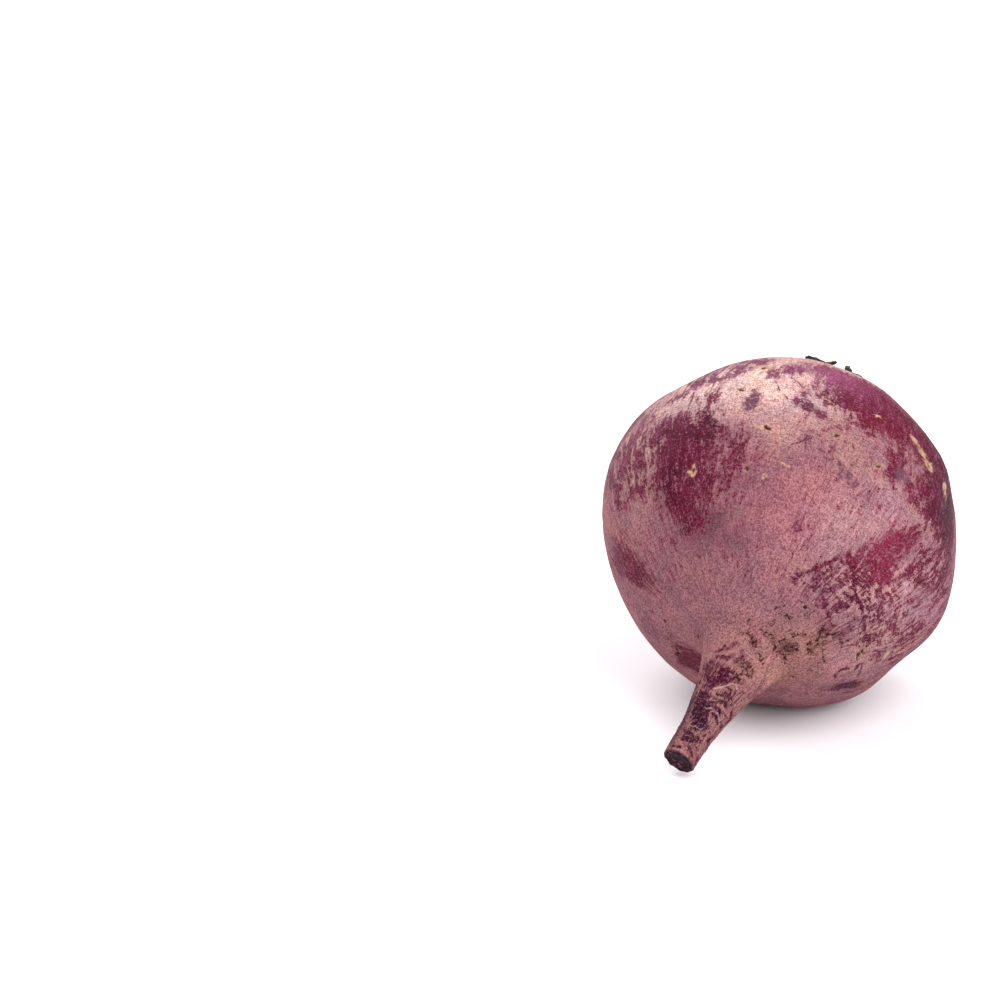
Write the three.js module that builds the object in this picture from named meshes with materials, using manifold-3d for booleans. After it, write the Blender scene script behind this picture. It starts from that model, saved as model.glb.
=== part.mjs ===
// A whole beetroot, as sold loose with its leaves cut off: a round swollen root that narrows through a neck
// to a thick tail, with a low corky crown at the other end. The dried bases of its leaf stalks are still
// on the crown.
//
// Millimetres, +Z up. The root lies on a small flat spot under its belly, and the origin is the centre of
// that spot. The tail points to -Y and droops almost to the floor, and the crown looks to +Y and up.

import * as THREE from 'three';
import { ImprovedNoise } from 'three/addons/math/ImprovedNoise.js';
import { mergeVertices } from 'three/addons/utils/BufferGeometryUtils.js';
import Module from 'manifold-3d';

const wasm = await Module();
wasm.setup();

// Driving dimensions

const bodyRadius = 39.2;            // half the girth of the swollen root
const bodyHeight = 38.9;            // from the flat spot up to the middle of the girth
const flatSpotShift = new THREE.Vector2(-1.0, 0.35); // the middle of the girth, seen from above the flat spot
const crownReach = 39.2;            // from the girth to where the crown side of the body closes
const neckReach = 37.2;             // from the girth to where the tail side of the body closes
const stumpRadius = 11.5;           // the low stump of the crown that carries the leaf bases
const stumpTop = 40.4;              // how far the top of the stump is from the girth
const stumpDome = 2.6;              // height of its domed top
const stumpBlend = 9;               // how widely the stump runs out into the shoulder
const tailRootRadius = 8.9;         // the tail where it leaves the neck
const tailRootAt = 38.5;
const tailEndRadius = 3.6;          // the tail at its end
const tailEndAt = 68;
const neckBlend = 10;               // how widely the neck flares into the body
const tailCut = { at: 64.6, facing: new THREE.Vector3(-0.30, -0.80, -0.52) };   // a slanting cut
const stalkGap = 0.3;               // clearance between the root and the leaf bases on it

// The root's axis runs from the crown through the middle of the girth to the tail. It droops from the level
// and swings to -X by these many degrees, and bends most where the neck narrows to the tail.
const droop = { crown: 41, body: 25, tail: 46.6 };
const swing = { crown: 9, body: 1, tail: 34 };
const bodyBend = [-42, 16];         // where the bend of the body begins and ends, from the girth
const tailBend = [29, 50];

// Swellings and hollows of the body: where along the axis from the girth, the turn round the axis in degrees
// (0 up, 90 to +X, 180 down), how far each spreads along and round, and how far it stands out.
const swellings = [
  { along: -4, turn: 297, reach: 19, spread: 36, rise: 2.5 },   // left shoulder
  { along: -29, turn: 26, reach: 12, spread: 34, rise: 2.6 },   // shoulder above the crown
  { along: -25, turn: 345, reach: 12, spread: 20, rise: 1.3 },
  { along: -28, turn: 4, reach: 8, spread: 20, rise: 1.2 },
  { along: -27, turn: 38, reach: 6, spread: 11, rise: 1.1 },
  { along: -17, turn: 72, reach: 8, spread: 10, rise: 1.0 },    // right shoulder
  { along: -20, turn: 318, reach: 9, spread: 14, rise: -0.4 },
  { along: -7, turn: 86, reach: 13, spread: 24, rise: -0.9 },   // flatter right flank
  { along: 6, turn: 112, reach: 12, spread: 17, rise: 1.0 },    // right belly
  { along: 15, turn: 130, reach: 12, spread: 9, rise: -1.0 },   // valley between belly and underside lobe
  { along: 19, turn: 154, reach: 11, spread: 22, rise: 2.3 },   // lobe under the neck
  { along: 24, turn: 206, reach: 12, spread: 24, rise: 2.2 },   // underside left of the tail
];

// Side roots once grew in two furrows, one down each side, which are deepest at the neck.
const furrows = [
  { turn: 96, depth: 1.5, spread: 11 },
  { turn: 277, depth: 1.1, spread: 13 },
];
const furrowDeepest = 29;
const furrowReach = 13;

const wrinkle = { pitch: 2.9, height: 0.38, from: 29, full: 37 };      // rings round the neck and the tail
const leafScar = { pitch: 2.8, height: 0.42, from: 29, full: 34 };     // rings of old leaf scars on the crown
const lump = { size: 17, height: 0.5 };                                // the general unevenness of the body

const sides = 60;
const ringSpacing = { crown: 1.3, body: 3.8, tail: 1.05 };

const noise = new ImprovedNoise();
const skinColour = 0x9a6470;
const stalkColour = 0x2e2724;

// Outline

function smoothStep(from, to, x) {
  return THREE.MathUtils.smoothstep(x, from, to);
}

// The larger of two radii, with a fillet between them.
function blended(a, b, width) {
  const near = Math.max(0, 1 - Math.abs(a - b) / width);
  return Math.max(a, b) + width * near * near / 4;
}

function bodyOutline(along) {
  const reach = along < 0 ? crownReach : neckReach;
  const share = Math.abs(along) / reach;
  if (share >= 1) return -1.5 * bodyRadius * (share - 1);
  return bodyRadius * Math.sqrt(1 - share * share);
}

function tailOutline(along) {
  const left = THREE.MathUtils.clamp((tailEndAt - along) / (tailEndAt - tailRootAt), 0, 1.2);
  return tailEndRadius + (tailRootRadius - tailEndRadius) * left ** 2.4;
}

// 1 away from an end of the root and 0 at the very end, as a quarter of an ellipse.
function domedEnd(distance, dome) {
  const share = Math.min(1, Math.max(0, distance / dome));
  return Math.sqrt(1 - (1 - share) ** 2);
}

function radiusAt(along) {
  const radius = along < 0
    ? blended(bodyOutline(along), stumpRadius, stumpBlend)
    : blended(bodyOutline(along), tailOutline(along), neckBlend);
  return radius * domedEnd(along + stumpTop, stumpDome) * domedEnd(tailEndAt - along, 1);
}

// Relief

function bell(distance, spread) {
  return Math.exp(-((distance / spread) ** 2));
}

function turnBetween(a, b) {
  return Math.abs(((a - b + 540) % 360) - 180);
}

function ringRidge(along, pitch, wander) {
  const wave = 0.5 + 0.5 * Math.sin(2 * Math.PI * (along / pitch + wander));
  return wave * wave - 0.4;
}

// How far the skin stands out from the plain outline.
function reliefAt(along, turn) {
  const angle = THREE.MathUtils.degToRad(turn);
  const [c, s] = [Math.cos(angle), Math.sin(angle)];
  let rise = 0;
  for (const w of swellings) {
    rise += w.rise * bell(along - w.along, w.reach) * bell(turnBetween(turn, w.turn), w.spread);
  }
  for (const f of furrows) {
    rise -= f.depth * bell(along - furrowDeepest, furrowReach) * bell(turnBetween(turn, f.turn), f.spread);
  }
  const onBody = 1 - smoothStep(30, 40, along);
  const girth = radiusAt(along) / lump.size;
  rise += onBody * lump.height * noise.noise(girth * c + 3.1, girth * s + 1.7, along / lump.size);

  const wander = 0.55 * noise.noise(1.6 * c + 5, 1.6 * s + 9, along / 9);
  const patchy = 0.65 + 0.75 * noise.noise(2.1 * c, 2.1 * s, along / 5 + 20);
  const onTail = smoothStep(wrinkle.from, wrinkle.full, along) * (1 - 0.6 * smoothStep(60, tailEndAt, along));
  rise += onTail * patchy * wrinkle.height * ringRidge(along, wrinkle.pitch, wander);
  const onCrown = smoothStep(leafScar.from, leafScar.full, -along);
  rise += onCrown * patchy * leafScar.height * ringRidge(along, leafScar.pitch, 2 * wander);
  return rise;
}

// The axis

function bent(angles, along) {
  const body = THREE.MathUtils.lerp(angles.crown, angles.body, smoothStep(...bodyBend, along));
  return THREE.MathUtils.degToRad(THREE.MathUtils.lerp(body, angles.tail, smoothStep(...tailBend, along)));
}

function axisDirection(along) {
  const level = Math.cos(bent(droop, along));
  const round = bent(swing, along);
  return new THREE.Vector3(-Math.sin(round) * level, -Math.cos(round) * level, -Math.sin(bent(droop, along)));
}

const axisStep = 0.25;
const towardsTail = walkAxis(axisStep);
const towardsCrown = walkAxis(-axisStep);

// Points of the axis from the middle of the girth to one end, a step apart.
function walkAxis(step) {
  const points = [new THREE.Vector3()];
  for (let i = 0; i < 300; i++) {
    points.push(points[i].clone().addScaledVector(axisDirection((i + 0.5) * step), step));
  }
  return points;
}

// A point of the axis, its direction towards the tail, and the two directions that the turn is counted from.
function axisFrame(along) {
  const points = along < 0 ? towardsCrown : towardsTail;
  const steps = Math.abs(along) / axisStep;
  const whole = Math.floor(steps);
  const forward = axisDirection(along);
  const side = new THREE.Vector3(0, 0, 1).cross(forward).normalize();
  const up = forward.clone().cross(side);
  return { point: points[whole].clone().lerp(points[whole + 1], steps - whole), forward, side, up };
}

// A point of the skin, or one that far off it.
function skinPoint(along, turn, off = 0) {
  const { point, forward, side, up } = axisFrame(along);
  const angle = THREE.MathUtils.degToRad(turn);
  const outward = up.multiplyScalar(Math.cos(angle)).addScaledVector(side, Math.sin(angle));
  const radius = radiusAt(along);
  const ends = Math.min(1, radius / 6);
  point.addScaledVector(outward, radius + ends * reliefAt(along, turn));
  const slope = (radiusAt(along + 0.1) - radiusAt(along - 0.1)) / 0.2;
  return point.addScaledVector(outward.addScaledVector(forward, -slope).normalize(), off);
}

// Places for the rings, counted from the girth: close together on the crown, the neck and the tail.
function ringPlaces() {
  const fineSteps = 4000;
  const length = tailEndAt + stumpTop;
  const places = [];
  const counts = [0];
  for (let i = 0; i <= fineSteps; i++) {
    const eased = 0.5 - 0.5 * Math.cos(Math.PI * i / fineSteps);
    places.push(-stumpTop + length * eased);
    if (i === 0) continue;
    const along = places[i];
    const step = Math.hypot(along - places[i - 1], radiusAt(along) - radiusAt(places[i - 1]));
    const body = smoothStep(-27, -20, along) * (1 - smoothStep(24, 32, along));
    const ends = along < 0 ? ringSpacing.crown : ringSpacing.tail;
    counts.push(counts[i - 1] + step / THREE.MathUtils.lerp(ends, ringSpacing.body, body));
  }
  const rings = Math.round(counts[fineSteps]);
  const chosen = [];
  for (let ring = 1, i = 0; ring < rings; ring++) {
    while (counts[i] < ring * counts[fineSteps] / rings) i++;
    chosen.push(places[i]);
  }
  return chosen;
}

// Solids

function solidOf(geometry) {
  const bare = geometry.clone();
  bare.deleteAttribute('normal');
  bare.deleteAttribute('uv');
  const merged = mergeVertices(bare, 1e-4);
  return new wasm.Manifold(new wasm.Mesh({
    numProp: 3,
    vertProperties: merged.attributes.position.array,
    triVerts: new Uint32Array(merged.index.array),
  }));
}

function geometryOf(solid) {
  const { vertProperties, triVerts } = solid.getMesh();
  const geometry = new THREE.BufferGeometry();
  geometry.setAttribute('position', new THREE.BufferAttribute(new Float32Array(vertProperties), 3));
  geometry.setIndex(new THREE.BufferAttribute(new Uint32Array(triVerts), 1));
  geometry.computeVertexNormals();
  return geometry;
}

// The root's whole skin as rings round its axis, closed at both ends, or a surface that far off it.
function rootSkin(off = 0) {
  const vertices = [];
  const indices = [];
  const crownEnd = axisFrame(-stumpTop);
  const tailEnd = axisFrame(tailEndAt);
  crownEnd.point.addScaledVector(crownEnd.forward, -off).toArray(vertices, 0);
  const places = ringPlaces();
  for (const along of places) {
    for (let i = 0; i < sides; i++) {
      skinPoint(along, 360 * i / sides, off).toArray(vertices, vertices.length);
    }
  }
  tailEnd.point.addScaledVector(tailEnd.forward, off).toArray(vertices, vertices.length);
  const last = vertices.length / 3 - 1;
  for (let i = 0; i < sides; i++) {
    const next = (i + 1) % sides;
    indices.push(0, 1 + i, 1 + next);
    indices.push(last, last - sides + next, last - sides + i);
    for (let ring = 1; ring < places.length; ring++) {
      const before = 1 + (ring - 1) * sides;
      const after = before + sides;
      indices.push(before + i, after + i, before + next);
      indices.push(before + next, after + i, after + next);
    }
  }
  const geometry = new THREE.BufferGeometry();
  geometry.setAttribute('position', new THREE.Float32BufferAttribute(vertices, 3));
  geometry.setIndex(indices);
  return solidOf(geometry);
}

// Leaf bases

const golden = 137.508;             // degrees between one leaf and the next
const stalk = { count: 14, first: 1.0, step: 1.95, width: 4.8, bulge: 1.9, hollow: 0.5, sunk: 2.4 };
const husk = { from: 5, thickness: 0.8, foot: 0.7, lift: 0.4 };
const husks = [                     // turn at the foot, swerve to the tip, reach over the skin, width, height
  { turn: 21, swerve: -45, reach: 9.0, width: 2.6, above: 3.2 },
  { turn: -14, swerve: 31, reach: 9.4, width: 3.4, above: 1.9 },
  { turn: 48, swerve: -14, reach: 9.6, width: 3.0, above: 1.6 },
  { turn: 88, swerve: 22, reach: 12.4, width: 3.6, above: 0.7 },
  { turn: 131, swerve: -10, reach: 14.2, width: 4.2, above: 0.7 },
  { turn: 176, swerve: 16, reach: 11.0, width: 3.4, above: 0.8 },
  { turn: 214, swerve: -18, reach: 13.4, width: 3.9, above: 0.7 },
  { turn: 252, swerve: 12, reach: 11.8, width: 3.2, above: 0.75 },
  { turn: 296, swerve: -8, reach: 11.4, width: 3.6, above: 0.6 },
];
const plate = { radius: 8.2, thickness: 2.4, proud: 1.1 };

// Uneven but always the same: a number from 0 to 1 for each leaf.
function uneven(number, what) {
  return THREE.MathUtils.euclideanModulo(Math.sin(12.9898 * number + 78.233 * what) * 43758.5453, 1);
}

// The crown's own directions: outwards at that turn round the axis, across it, and away from the root.
function crownFrame(turn) {
  const { point, forward, side, up } = axisFrame(-stumpTop);
  const angle = THREE.MathUtils.degToRad(turn);
  const outward = up.multiplyScalar(Math.cos(angle)).addScaledVector(side, Math.sin(angle));
  const away = forward.negate();
  return { point, outward, away, across: outward.clone().cross(away) };
}

// The point that far off the skin of the crown, after a walk over the skin from the crown's middle.
function crownPoint(walk, turn, off) {
  const step = 0.02;
  let along = -stumpTop;
  for (let gone = 0; gone < walk; along += step) {
    gone += Math.hypot(step, radiusAt(along + step) - radiusAt(along));
  }
  return skinPoint(along, turn, off);
}

// A cut leaf stalk: a short stem of crescent section, hollow side to the middle, which leans outwards and
// is cut off slanting.
function stalkStub(number) {
  const size = 0.72 + 0.4 * uneven(number, 1);
  const tall = 1.0 + 1.3 * uneven(number, 2);
  const half = stalk.width * size / 2;
  const section = new THREE.Shape();
  section.moveTo(-half, 0);
  section.quadraticCurveTo(0, 2 * stalk.bulge * size, half, 0);
  section.quadraticCurveTo(0, 2 * stalk.hollow * size, -half, 0);
  const depth = tall + stalk.sunk;
  const cut = { depth, steps: 3, bevelEnabled: false, curveSegments: 6 };
  const geometry = new THREE.ExtrudeGeometry(section, cut);
  const place = geometry.attributes.position;
  for (let i = 0; i < place.count; i++) {
    const [x, y, z] = [place.getX(i), place.getY(i), place.getZ(i)];
    const share = z / depth;
    const narrow = 1 - 0.22 * share;
    const lean = 0.5 * share * share * Math.sqrt(number);
    const slant = share * (0.35 * x * (uneven(number, 3) - 0.5) - 0.3 * y);
    place.setXYZ(i, narrow * x, narrow * y + lean, z - stalk.sunk + slant);
  }
  const distance = stalk.first + stalk.step * Math.sqrt(number) - stalk.bulge * size;
  const { point, outward, away, across } = crownFrame(golden * number);
  point.addScaledVector(outward, distance);
  geometry.applyMatrix4(new THREE.Matrix4().makeBasis(across, outward, away).setPosition(point));
  return solidOf(geometry);
}

// A dried outer leaf base: a thin strip that lies outwards over the shoulder, with its tip a little lifted.
function huskStrip({ turn, swerve, reach, width, above }) {
  const route = [0, 0.14, 0.28, 0.42, 0.56, 0.7, 0.85, 1].map((share) => {
    const walk = THREE.MathUtils.lerp(husk.from, reach, share);
    const height = THREE.MathUtils.lerp(husk.foot, above, Math.sqrt(share)) + husk.lift * share * share;
    return crownPoint(walk, turn + swerve * share, height);
  });
  return solidOf(strip(new THREE.CatmullRomCurve3(route), width, turn));
}

// A thin strip along the path, level with the skin across, thicker in the middle, narrowing to the tip.
function strip(path, width, turn) {
  const steps = 10;
  const corners = [[-0.5, -0.25], [0, -0.5], [0.5, -0.25], [0.42, 0.2], [0, 0.5], [-0.42, 0.2]];
  const ring = corners.length;
  const vertices = [];
  const indices = [];
  const { across } = crownFrame(turn);
  for (let i = 0; i <= steps; i++) {
    const point = path.getPointAt(i / steps);
    const above = path.getTangentAt(i / steps).cross(across).normalize();
    const narrow = 1 - 0.55 * (i / steps) ** 2;
    for (const [sideways, upwards] of corners) {
      const place = point.clone().addScaledVector(across, sideways * width * narrow);
      place.addScaledVector(above, upwards * husk.thickness).toArray(vertices, vertices.length);
    }
  }
  for (let k = 0; k < ring; k++) {
    const next = (k + 1) % ring;
    for (let i = 0; i < steps; i++) {
      const [a, b] = [i * ring, (i + 1) * ring];
      indices.push(a + k, a + next, b + k, a + next, b + next, b + k);
    }
  }
  for (let k = 1; k < ring - 1; k++) {
    const end = steps * ring;
    indices.push(0, k + 1, k, end, end + k, end + k + 1);
  }
  const geometry = new THREE.BufferGeometry();
  geometry.setAttribute('position', new THREE.Float32BufferAttribute(vertices, 3));
  geometry.setIndex(indices);
  return geometry;
}

// The plate of old leaf bases that all stalks and strips grow from.
function leafPlate() {
  const { point, away } = crownFrame(0);
  const geometry = new THREE.CylinderGeometry(plate.radius * 0.8, plate.radius, plate.thickness, 22);
  geometry.applyQuaternion(new THREE.Quaternion().setFromUnitVectors(new THREE.Vector3(0, 1, 0), away));
  point.addScaledVector(away, plate.proud - plate.thickness / 2);
  geometry.translate(point.x, point.y, point.z);
  return solidOf(geometry);
}

function leafBases() {
  let rosette = leafPlate();
  for (let i = 0; i < stalk.count; i++) rosette = rosette.add(stalkStub(i + 0.5));
  for (const one of husks) rosette = rosette.add(huskStrip(one));
  return rosette.subtract(rootSkin(stalkGap));
}

// A block that holds all that lies beyond the plane through a point, on the side that the plane faces.
function beyond(point, facing) {
  const size = 60;
  const geometry = new THREE.BoxGeometry(size, size, size);
  geometry.translate(0, 0, size / 2);
  geometry.applyQuaternion(new THREE.Quaternion().setFromUnitVectors(new THREE.Vector3(0, 0, 1), facing));
  geometry.translate(point.x, point.y, point.z);
  return solidOf(geometry);
}

// The skin closed off by the flat spot below and by the cut across the tail.
function root() {
  const spot = new THREE.Vector3(0, 0, -bodyHeight);
  const tailEnd = axisFrame(tailCut.at).point;
  return rootSkin()
    .subtract(beyond(spot, new THREE.Vector3(0, 0, -1)))
    .subtract(beyond(tailEnd, tailCut.facing.normalize()));
}

function namedMesh(name, solid, colour, roughness) {
  const material = new THREE.MeshStandardMaterial({ color: colour, roughness, metalness: 0 });
  const mesh = new THREE.Mesh(geometryOf(solid), material);
  mesh.name = name;
  return mesh;
}

const beetroot = new THREE.Group();
beetroot.add(namedMesh('root', root(), skinColour, 0.62));
beetroot.add(namedMesh('leaf_stubs', leafBases(), stalkColour, 0.85));
beetroot.position.set(flatSpotShift.x, flatSpotShift.y, bodyHeight);

export default beetroot;
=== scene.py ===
import copy
from functools import partial
from math import radians

import bpy
import numpy as np
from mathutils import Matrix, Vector, noise


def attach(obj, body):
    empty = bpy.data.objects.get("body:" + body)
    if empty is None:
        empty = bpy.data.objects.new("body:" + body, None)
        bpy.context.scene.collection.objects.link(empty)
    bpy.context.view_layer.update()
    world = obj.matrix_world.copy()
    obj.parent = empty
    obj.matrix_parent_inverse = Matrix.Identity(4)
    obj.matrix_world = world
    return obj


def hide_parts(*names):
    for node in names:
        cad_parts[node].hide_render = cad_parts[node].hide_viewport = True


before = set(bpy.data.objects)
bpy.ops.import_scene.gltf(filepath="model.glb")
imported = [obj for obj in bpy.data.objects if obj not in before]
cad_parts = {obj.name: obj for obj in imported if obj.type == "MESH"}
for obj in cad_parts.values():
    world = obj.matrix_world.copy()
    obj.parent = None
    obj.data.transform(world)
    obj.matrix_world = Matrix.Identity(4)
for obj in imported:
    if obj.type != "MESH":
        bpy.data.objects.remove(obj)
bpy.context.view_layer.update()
mm = 0.001  # sizes below are in millimetres, and those of the scene in metres
girthCentre = (-1.0, 0.35, 38.9)  # mm; the middle of the root where it is widest


# small helpers

def makeActive(piece):
    if bpy.context.mode != "OBJECT":
        bpy.ops.object.mode_set(mode="OBJECT")
    bpy.ops.object.select_all(action="DESELECT")
    piece.select_set(True)
    bpy.context.view_layer.objects.active = piece


def applyModifier(piece, kind, **settings):
    makeActive(piece)
    modifier = piece.modifiers.new(kind.lower(), kind)
    for name, value in settings.items():
        setattr(modifier, name, value)
    bpy.ops.object.modifier_apply(modifier=modifier.name)


def copyOfNode(node, name):  # the CAD node itself stays as it is
    piece = bpy.data.objects.new(name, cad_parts[node].data.copy())
    bpy.context.scene.collection.objects.link(piece)
    piece.data.materials.clear()
    makeActive(piece)
    bpy.ops.object.mode_set(mode="EDIT")
    bpy.ops.mesh.select_all(action="SELECT")
    bpy.ops.mesh.remove_doubles(threshold=0.002 * mm)
    bpy.ops.object.mode_set(mode="OBJECT")
    return piece


def placesOf(piece):  # every vertex, in millimetres
    places = np.empty(len(piece.data.vertices) * 3)
    piece.data.vertices.foreach_get("co", places)
    return places.reshape(-1, 3) / mm


def movePlaces(piece, places):
    piece.data.vertices.foreach_set("co", (places * mm).ravel())
    piece.data.update()


def normalsOf(piece):
    normals = np.empty(len(piece.data.vertices) * 3)
    piece.data.vertices.foreach_get("normal", normals)
    return normals.reshape(-1, 3)


def trianglesOf(piece):
    return sum(len(face.vertices) - 2 for face in piece.data.polygons)


def storeAttribute(piece, name, values):  # a number, or three, for every vertex
    kind, field = ("FLOAT_VECTOR", "vector") if values.ndim == 2 else ("FLOAT", "value")
    attribute = piece.data.attributes.new(name, kind, "POINT")
    attribute.data.foreach_set(field, values.astype(np.float32).ravel())


def storeWeights(piece, name, weights):
    group = piece.vertex_groups.new(name=name)
    steps = 20  # 5 % steps are fine enough
    for step in range(1, steps + 1):
        chosen = np.flatnonzero(np.round(weights * steps) == step)
        if len(chosen):
            group.add(chosen.tolist(), step / steps, "REPLACE")


def smoothStep(low, high, x):
    share = np.clip((x - low) / (high - low), 0, 1)
    return share * share * (3 - 2 * share)


def between(rise, fall, x):  # 1 between the end of the rise and the start of the fall, 0 outside both
    return smoothStep(*rise, x) * (1 - smoothStep(*fall, x))


def bell(distance, width):
    return np.exp(-(distance / width) ** 2)


def noiseAt(places, size, shift=0.0):  # one smooth noise value, about -0.7 to 0.7, for each place
    return np.array([noise.noise(Vector(p)) for p in (places / size + shift).tolist()])


def wobbleAt(places, size):  # three such values for each place, one for each direction
    return np.stack([noiseAt(places, size, 10 * i) for i in range(3)], 1)


def onTube(radius, around, height):  # places on a tube; around is in radians
    return np.stack([radius * np.cos(around), radius * np.sin(around), height], 1)


def fromTurn(middle, turn):  # degrees from the middle turn, -180 to 180
    return (turn - middle + 180) % 360 - 180


def toLine(corners, places):  # how far each place is from the line through the corners
    closest = np.full(len(places), np.inf)
    for start, end in zip(corners[:-1], corners[1:]):
        step = end - start
        share = np.clip((places - start) @ step / (step @ step), 0, 1)
        closest = np.minimum(closest, np.linalg.norm(places - start - share[:, None] * step, axis=1))
    return closest


def hexColour(text):  # sRGB hex to the linear colour that shaders take
    parts = [int(text[i:i + 2], 16) / 255 for i in (0, 2, 4)]
    return [p / 12.92 if p < 0.04045 else ((p + 0.055) / 1.055) ** 2.4 for p in parts] + [1]


def addNode(tree, kind, settings):  # a value is set, a node or socket is linked
    node = tree.nodes.new("ShaderNode" + kind)
    for name, value in settings.items():
        if name == "stops":
            ramp = node.color_ramp
            while len(ramp.elements) < len(value):
                ramp.elements.new(0.5)
            for element, (place, colour) in zip(ramp.elements, value):
                element.position = place
                element.color = hexColour(colour)
        elif isinstance(name, str) and hasattr(node, name):
            setattr(node, name, value)
        elif isinstance(value, bpy.types.Node):
            tree.links.new(value.outputs[0], node.inputs[name])
        elif isinstance(value, bpy.types.NodeSocket):
            tree.links.new(value, node.inputs[name])
        else:
            node.inputs[name].default_value = value
    return node


def newMaterial(name):
    material = bpy.data.materials.new(name)
    material.use_nodes = True
    material.node_tree.nodes.clear()
    return material, material.node_tree


# camera

view = {
    "girthPixel": (782, 531.5),  # where the middle of the girth comes in the render, across and down
    "renderSide": 1000,  # pixels
    "turn": 17, "down": 20,  # degrees
    "distance": 622,  # mm
    "lens": 100, "sensor": 36,
    "clip": (0.01, 20),  # m
}


def placeCamera():
    data = bpy.data.cameras.new("camera")
    data.lens = view["lens"]
    data.sensor_width = view["sensor"]
    data.clip_start, data.clip_end = view["clip"]
    camera = bpy.data.objects.new("camera", data)
    bpy.context.scene.collection.objects.link(camera)
    camera.rotation_euler = (radians(90 - view["down"]), 0, radians(view["turn"]))
    focal = view["lens"] / view["sensor"] * view["renderSide"]
    right, below = ((place - view["renderSide"] / 2) / focal for place in view["girthPixel"])
    toGirth = camera.rotation_euler.to_matrix() @ Vector((right, -below, -1)).normalized()
    camera.location = (Vector(girthCentre) - view["distance"] * toGirth) * mm
    bpy.context.scene.camera = camera


placeCamera()
print("camera placed")


# the way the root grew

growth = {  # mm and degrees; along the axis, the girth is 0, the crown about -40 and the cut tail's end 65
    "span": (-41, 70), "step": 0.5,  # from past the crown to past the end of the tail
    "bodyRadius": 39.2, "crownReach": 39.2, "neckReach": 37.2,
    "closing": 1.5,  # how steeply the body closes past its reach
    "stump": (11.5, 9),  # radius, blend
    "tail": (8.9, 3.6, 38.5, 68, 10),  # radius at its root and end, where these are, blend
    "taper": 2.4,
    "droop": (41, 25, 46.6), "swing": (9, 1, 34),  # crown, body, tail
    "bodyBend": (-42, 16), "tailBend": (29, 50),
    "leastRadius": 2,  # turns are measured on at least this radius
}


def bent(angles, along):
    body = angles[0] + (angles[1] - angles[0]) * smoothStep(*growth["bodyBend"], along)
    return np.radians(body + (angles[2] - body) * smoothStep(*growth["tailBend"], along))


def axisDirection(along):
    droop, swing = bent(growth["droop"], along), bent(growth["swing"], along)
    level = np.cos(droop)
    return np.stack([-np.sin(swing) * level, -np.cos(swing) * level, -np.sin(droop)], -1)


def outlineRadius(along):
    reach = np.where(along < 0, growth["crownReach"], growth["neckReach"])
    share = np.abs(along) / reach
    inside = growth["bodyRadius"] * np.sqrt(np.clip(1 - share ** 2, 0, 1))
    body = np.where(share < 1, inside, -growth["closing"] * growth["bodyRadius"] * (share - 1))
    stumpRadius, stumpBlend = growth["stump"]
    wide, slim, wideAt, slimAt, tailBlend = growth["tail"]
    left = np.clip((slimAt - along) / (slimAt - wideAt), 0, 1.2)
    tail = slim + (wide - slim) * left ** growth["taper"]
    other = np.where(along < 0, stumpRadius, tail)
    blend = np.where(along < 0, stumpBlend, tailBlend)
    near = np.clip(1 - np.abs(body - other) / blend, 0, 1)
    return np.maximum(body, other) + blend * near ** 2 / 4


class Axis:  # points of the root's axis, and the directions that turns are counted from
    along = np.arange(*growth["span"], growth["step"])
    toTail = axisDirection(along)
    middle = np.searchsorted(along, 0)
    points = np.cumsum(axisDirection(along + growth["step"] / 2) * growth["step"], 0)
    points = np.vstack([np.zeros(3), points[:-1]])
    points = points - points[middle] + np.array(girthCentre)
    side = np.cross((0, 0, 1), toTail)
    side /= np.linalg.norm(side, axis=1)[:, None]
    up = np.cross(toTail, side)
    radius = outlineRadius(along)
    walked = np.concatenate([[0], np.cumsum(np.hypot(growth["step"], np.diff(radius)))])
    walked -= walked[middle]  # the way over the skin from the girth


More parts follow.
